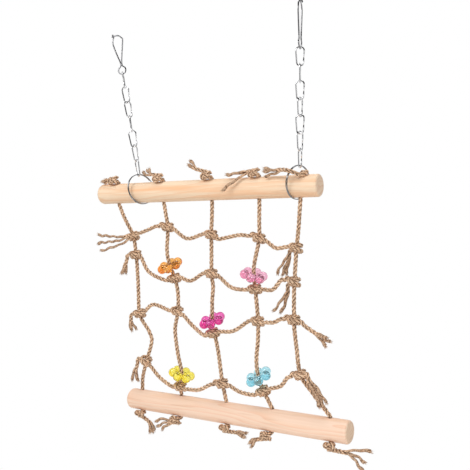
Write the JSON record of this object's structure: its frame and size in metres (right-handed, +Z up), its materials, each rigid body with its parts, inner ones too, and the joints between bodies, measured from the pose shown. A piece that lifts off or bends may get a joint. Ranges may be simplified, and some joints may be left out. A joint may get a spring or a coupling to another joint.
{
  "type": "bird climbing net",
  "caption": "Knotted rope climbing net between two round wooden perches, with flower beads, hung from snap hooks on link chains.",
  "frame": {"origin": "middle of the line on which the two hooks hang, above the middle of the upper perch", "axes": "+X along the upper perch, +Y away from the viewer through the net, +Z up"},
  "size_m": [0.3459, 0.0454, 0.4685],
  "materials": {
    "pale_pine": "plain sanded pine, unvarnished",
    "jute_rope": "twisted natural fibre rope",
    "bright_steel": "bright plated wire",
    "orange_acrylic": "clear tinted acrylic",
    "pink_acrylic": "clear tinted acrylic",
    "magenta_acrylic": "clear tinted acrylic",
    "yellow_acrylic": "clear tinted acrylic",
    "blue_acrylic": "clear tinted acrylic"
  },
  "bodies": {
    "hooks": {"left_snap_hook": "bright_steel", "right_snap_hook": "bright_steel"},
    "left_gate": {"left_hook_gate": "bright_steel"},
    "right_gate": {"right_hook_gate": "bright_steel"},
    "left_link_1": {"left_chain_link_1": "bright_steel"},
    "left_link_2": {"left_chain_link_2": "bright_steel"},
    "left_link_3": {"left_chain_link_3": "bright_steel"},
    "left_link_4": {"left_chain_link_4": "bright_steel"},
    "left_link_5": {"left_chain_link_5": "bright_steel"},
    "left_link_6": {"left_chain_link_6": "bright_steel"},
    "left_link_7": {"left_chain_link_7": "bright_steel"},
    "left_ring": {"left_split_ring": "bright_steel"},
    "right_link_1": {"right_chain_link_1": "bright_steel"},
    "right_link_2": {"right_chain_link_2": "bright_steel"},
    "right_link_3": {"right_chain_link_3": "bright_steel"},
    "right_link_4": {"right_chain_link_4": "bright_steel"},
    "right_link_5": {"right_chain_link_5": "bright_steel"},
    "right_link_6": {"right_chain_link_6": "bright_steel"},
    "right_link_7": {"right_chain_link_7": "bright_steel"},
    "right_ring": {"right_split_ring": "bright_steel"},
    "upper_perch_set": {"upper_perch": "pale_pine", "upper_knot_1": "jute_rope", "upper_knot_2": "jute_rope", "upper_knot_3": "jute_rope", "upper_knot_4": "jute_rope", "upper_knot_5": "jute_rope"},
    "net": {"vertical_rope_1": "jute_rope", "vertical_rope_2": "jute_rope", "vertical_rope_3": "jute_rope", "vertical_rope_4": "jute_rope", "vertical_rope_5": "jute_rope", "cross_rope_1": "jute_rope", "cross_rope_2": "jute_rope", "cross_rope_3": "jute_rope", "cross_rope_4": "jute_rope"},
    "lower_perch_set": {"lower_perch": "pale_pine", "lower_knot_1": "jute_rope", "lower_knot_2": "jute_rope", "lower_knot_3": "jute_rope", "lower_knot_4": "jute_rope", "lower_knot_5": "jute_rope"},
    "orange_bead": {"orange_flower_bead": "orange_acrylic"},
    "pink_bead": {"pink_flower_bead": "pink_acrylic"},
    "magenta_bead": {"magenta_flower_bead": "magenta_acrylic"},
    "yellow_bead": {"yellow_flower_bead": "yellow_acrylic"},
    "blue_bead": {"blue_flower_bead": "blue_acrylic"}
  },
  "joints": [
    {"name": "left_gate_open", "type": "hinge", "parent": "hooks", "child": "left_gate", "pos_m": [-0.1134, 0.00056, -0.03367], "axis": [0.3357, -0.9397, 0.0653], "range_deg": [0, 15], "stiffness_Nm_per_rad": 0.1},
    {"name": "right_gate_open", "type": "hinge", "parent": "hooks", "child": "right_gate", "pos_m": [0.11709, -0.00132, -0.0332], "axis": [0.9659, 0.2588, 0], "range_deg": [0, 15], "stiffness_Nm_per_rad": 0.1},
    {"name": "left_link_1_swing", "type": "hinge", "parent": "hooks", "child": "left_link_1", "pos_m": [-0.10993, 0, -0.0443], "axis": [1, 0, 0], "range_deg": [-12, 12]},
    {"name": "left_link_2_swing", "type": "hinge", "parent": "left_link_1", "child": "left_link_2", "pos_m": [-0.10653, 0, -0.06177], "axis": [1, 0, 0], "range_deg": [-12, 12]},
    {"name": "left_link_3_swing", "type": "hinge", "parent": "left_link_2", "child": "left_link_3", "pos_m": [-0.10314, 0, -0.07925], "axis": [1, 0, 0], "range_deg": [-12, 12]},
    {"name": "left_link_4_swing", "type": "hinge", "parent": "left_link_3", "child": "left_link_4", "pos_m": [-0.09974, 0, -0.09672], "axis": [1, 0, 0], "range_deg": [-12, 12]},
    {"name": "left_link_5_swing", "type": "hinge", "parent": "left_link_4", "child": "left_link_5", "pos_m": [-0.09634, 0, -0.11419], "axis": [1, 0, 0], "range_deg": [-12, 12]},
    {"name": "left_link_6_swing", "type": "hinge", "parent": "left_link_5", "child": "left_link_6", "pos_m": [-0.09295, 0, -0.13167], "axis": [1, 0, 0], "range_deg": [-12, 12]},
    {"name": "left_link_7_swing", "type": "hinge", "parent": "left_link_6", "child": "left_link_7", "pos_m": [-0.08955, 0, -0.14914], "axis": [1, 0, 0], "range_deg": [-12, 12]},
    {"name": "left_ring_swing", "type": "hinge", "parent": "left_link_7", "child": "left_ring", "pos_m": [-0.08618, 0, -0.16649], "axis": [1, 0, 0], "range_deg": [-12, 12]},
    {"name": "right_link_1_swing", "type": "hinge", "parent": "hooks", "child": "right_link_1", "pos_m": [0.11777, 0, -0.0443], "axis": [1, 0, 0], "range_deg": [-12, 12]},
    {"name": "right_link_2_swing", "type": "hinge", "parent": "right_link_1", "child": "right_link_2", "pos_m": [0.11777, 0, -0.06177], "axis": [1, 0, 0], "range_deg": [-12, 12]},
    {"name": "right_link_3_swing", "type": "hinge", "parent": "right_link_2", "child": "right_link_3", "pos_m": [0.11777, 0, -0.07925], "axis": [1, 0, 0], "range_deg": [-12, 12]},
    {"name": "right_link_4_swing", "type": "hinge", "parent": "right_link_3", "child": "right_link_4", "pos_m": [0.11777, 0, -0.09672], "axis": [1, 0, 0], "range_deg": [-12, 12]},
    {"name": "right_link_5_swing", "type": "hinge", "parent": "right_link_4", "child": "right_link_5", "pos_m": [0.11777, 0, -0.11419], "axis": [1, 0, 0], "range_deg": [-12, 12]},
    {"name": "right_link_6_swing", "type": "hinge", "parent": "right_link_5", "child": "right_link_6", "pos_m": [0.11777, 0, -0.13167], "axis": [1, 0, 0], "range_deg": [-12, 12]},
    {"name": "right_link_7_swing", "type": "hinge", "parent": "right_link_6", "child": "right_link_7", "pos_m": [0.11777, 0, -0.14914], "axis": [1, 0, 0], "range_deg": [-12, 12]},
    {"name": "right_ring_swing", "type": "hinge", "parent": "right_link_7", "child": "right_ring", "pos_m": [0.11777, 0, -0.16649], "axis": [1, 0, 0], "range_deg": [-12, 12]},
    {"name": "upper_perch_roll", "type": "hinge", "parent": "left_ring", "child": "upper_perch_set", "pos_m": [0, 0, -0.18791], "axis": [1, 0, 0], "range_deg": [-12, 12]},
    {"name": "net_swing", "type": "hinge", "parent": "upper_perch_set", "child": "net", "pos_m": [0, 0, -0.20051], "axis": [1, 0, 0], "range_deg": [-30, 30]},
    {"name": "lower_perch_swing", "type": "hinge", "parent": "net", "child": "lower_perch_set", "pos_m": [0.036, 0, -0.41881], "axis": [0.9969, -0.0785, 0], "range_deg": [-30, 30]},
    {"name": "orange_bead_spin", "type": "hinge", "parent": "net", "child": "orange_bead", "pos_m": [-0.04378, 0.00172, -0.27237], "axis": [-0.2055, -0.4067, 0.8901], "continuous": true},
    {"name": "pink_bead_spin", "type": "hinge", "parent": "net", "child": "pink_bead", "pos_m": [0.06515, -0.0015, -0.28079], "axis": [0.3043, -0.1736, 0.9366], "continuous": true},
    {"name": "magenta_bead_spin", "type": "hinge", "parent": "net", "child": "magenta_bead", "pos_m": [0.01289, 0.00026, -0.3317], "axis": [-0.1763, -0.3827, 0.9069], "continuous": true},
    {"name": "yellow_bead_spin", "type": "hinge", "parent": "net", "child": "yellow_bead", "pos_m": [-0.02966, 0.00467, -0.39561], "axis": [0.3412, -0.0698, 0.9374], "continuous": true},
    {"name": "blue_bead_spin", "type": "hinge", "parent": "net", "child": "blue_bead", "pos_m": [0.07175, -0.0035, -0.38765], "axis": [-0.2986, -0.3987, 0.8671], "continuous": true}
  ],
  "couplings": [
    {"joint": "right_link_1_swing", "follows": "left_link_1_swing", "ratio": 1},
    {"joint": "right_link_2_swing", "follows": "left_link_2_swing", "ratio": 1},
    {"joint": "right_link_3_swing", "follows": "left_link_3_swing", "ratio": 1},
    {"joint": "right_link_4_swing", "follows": "left_link_4_swing", "ratio": 1},
    {"joint": "right_link_5_swing", "follows": "left_link_5_swing", "ratio": 1},
    {"joint": "right_link_6_swing", "follows": "left_link_6_swing", "ratio": 1},
    {"joint": "right_link_7_swing", "follows": "left_link_7_swing", "ratio": 1},
    {"joint": "right_ring_swing", "follows": "left_ring_swing", "ratio": 1}
  ]
}
